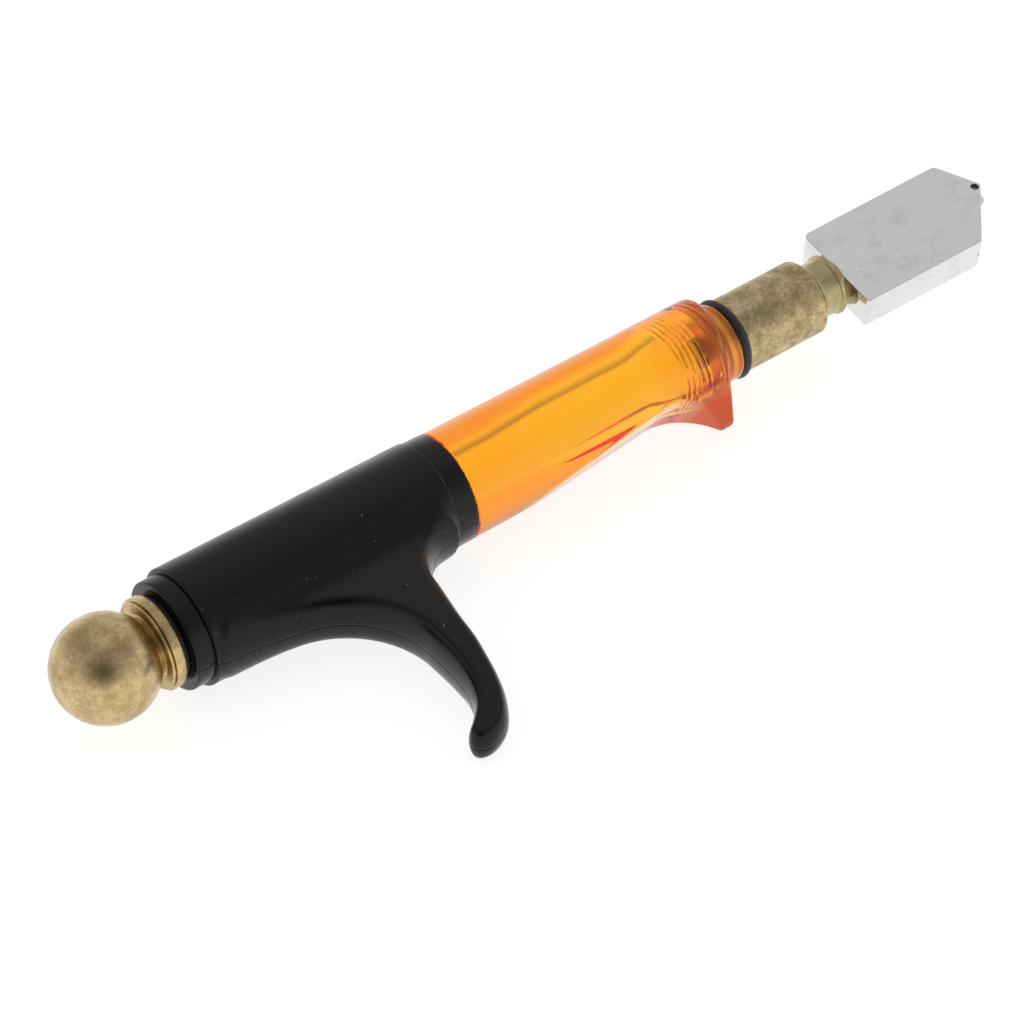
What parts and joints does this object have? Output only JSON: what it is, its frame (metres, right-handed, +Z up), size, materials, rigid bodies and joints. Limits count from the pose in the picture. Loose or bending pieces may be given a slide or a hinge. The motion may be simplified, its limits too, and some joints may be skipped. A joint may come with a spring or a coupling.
{
  "type": "glass cutter",
  "caption": "Oil-fed glass cutter for stained glass: ball-ended filler knob, turning saddle with a finger hook, clear amber oil barrel and a swivelling spring-loaded cutting head.",
  "frame": {"origin": "on the barrel's axis, in the plane of the saddle's rear shoulder, which is where the tool rests in a bench rack's hole", "axes": "+X along the barrel's axis towards the cutting wheel; the hook reaches towards -Y and 8.4 degrees down; +Z is up as the tool lies on a table, on its barrel and the tip of the hook"},
  "size_m": [0.1788, 0.0581, 0.0194],
  "materials": {
    "knob_brass": "tarnished, mottled satin",
    "ferrule_brass": "tarnished olive satin with brown stains",
    "bush_brass": "turned, olive satin",
    "black_plastic": "moulded, semi-gloss with a parting line",
    "amber_acrylic": "clear amber, polished, lightly scuffed",
    "black_rubber": "matte",
    "pale_plastic": "turned, waxy",
    "head_chrome": "bright plated, faintly smudged",
    "bright_steel": "turned",
    "axle_steel": "dark, oily",
    "wheel_carbide": "ground",
    "wick_cotton": "twisted cotton, oily"
  },
  "bodies": {
    "handle": {"barrel": "amber_acrylic", "nose_oring": "black_rubber", "ferrule": "ferrule_brass", "neck_bush": "bush_brass", "retaining_pin": "bright_steel", "return_spring": "bright_steel"},
    "saddle": {"saddle": "black_plastic"},
    "knob_washer": {"cap_washer": "black_rubber"},
    "knob": {"ball_knob": "knob_brass"},
    "plunger": {"spring_washer": "bright_steel"},
    "head": {"head_shank": "ferrule_brass", "valve_stem": "bright_steel", "valve_seal": "pale_plastic", "shank_oring": "black_rubber", "feed_wick": "wick_cotton", "head_block": "head_chrome", "axle_pin": "axle_steel"},
    "wheel": {"cutting_wheel": "wheel_carbide"}
  },
  "joints": [
    {"name": "saddle_turn", "type": "hinge", "parent": "handle", "child": "saddle", "pos_m": [0.02, 0, 0], "axis": [1, 0, 0], "continuous": true},
    {"name": "knob_travel", "type": "slide", "parent": "handle", "child": "knob_washer", "axis": [-1, 0, 0], "range_m": [0, 0.006]},
    {"name": "knob_turn", "type": "hinge", "parent": "knob_washer", "child": "knob", "pos_m": [-0.0137, 0, 0], "axis": [-1, 0, 0], "range_deg": [0, 2160]},
    {"name": "head_press", "type": "slide", "parent": "handle", "child": "plunger", "axis": [-1, 0, 0], "range_m": [0, 0.001], "stiffness_N_per_m": 1500, "springref_m": -0.002, "deforming": ["return_spring"]},
    {"name": "head_swivel", "type": "hinge", "parent": "plunger", "child": "head", "pos_m": [0.115, 0, 0], "axis": [1, 0, 0], "range_deg": [-18, 2]},
    {"name": "wheel_spin", "type": "hinge", "parent": "head", "child": "wheel", "pos_m": [0.15446, 0.00125, 0.00037], "axis": [0, -0.2823, 0.9593], "continuous": true}
  ],
  "couplings": [
    {"joint": "knob_turn", "follows": "knob_travel", "rad_per_m": 6283.2}
  ]
}
